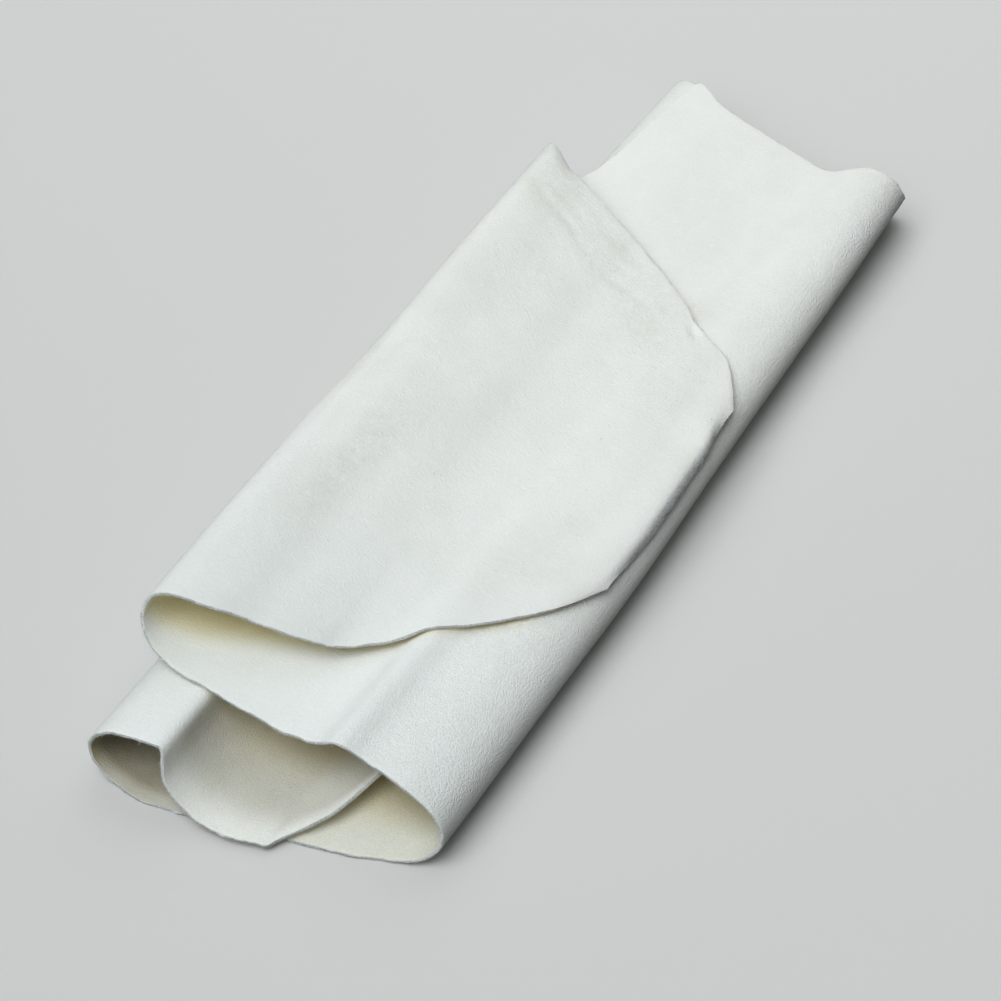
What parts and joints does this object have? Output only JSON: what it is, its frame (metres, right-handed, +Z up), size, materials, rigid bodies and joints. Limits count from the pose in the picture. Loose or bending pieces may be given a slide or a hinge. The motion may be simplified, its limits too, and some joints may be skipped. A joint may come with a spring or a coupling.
{
  "type": "chamois leather",
  "caption": "Soft cream chamois leather, one whole skin folded along its length into a loose flat bundle with open rolled folds, for drying and polishing.",
  "frame": {"origin": "under the middle of the bundle's box, on the surface that it lies on", "axes": "+X across the folds, towards the fold that takes the skin up on the right; +Y along the folds, from the near end with the open loops to the far end; +Z up, off the surface that the bundle lies on"},
  "size_m": [0.1026, 0.3348, 0.0402],
  "materials": {
    "suede": "matt napped suede, cream to off-white, with greyish beige mottling"
  },
  "bodies": {
    "root": {"chamois_hide": "suede"}
  },
  "joints": []
}
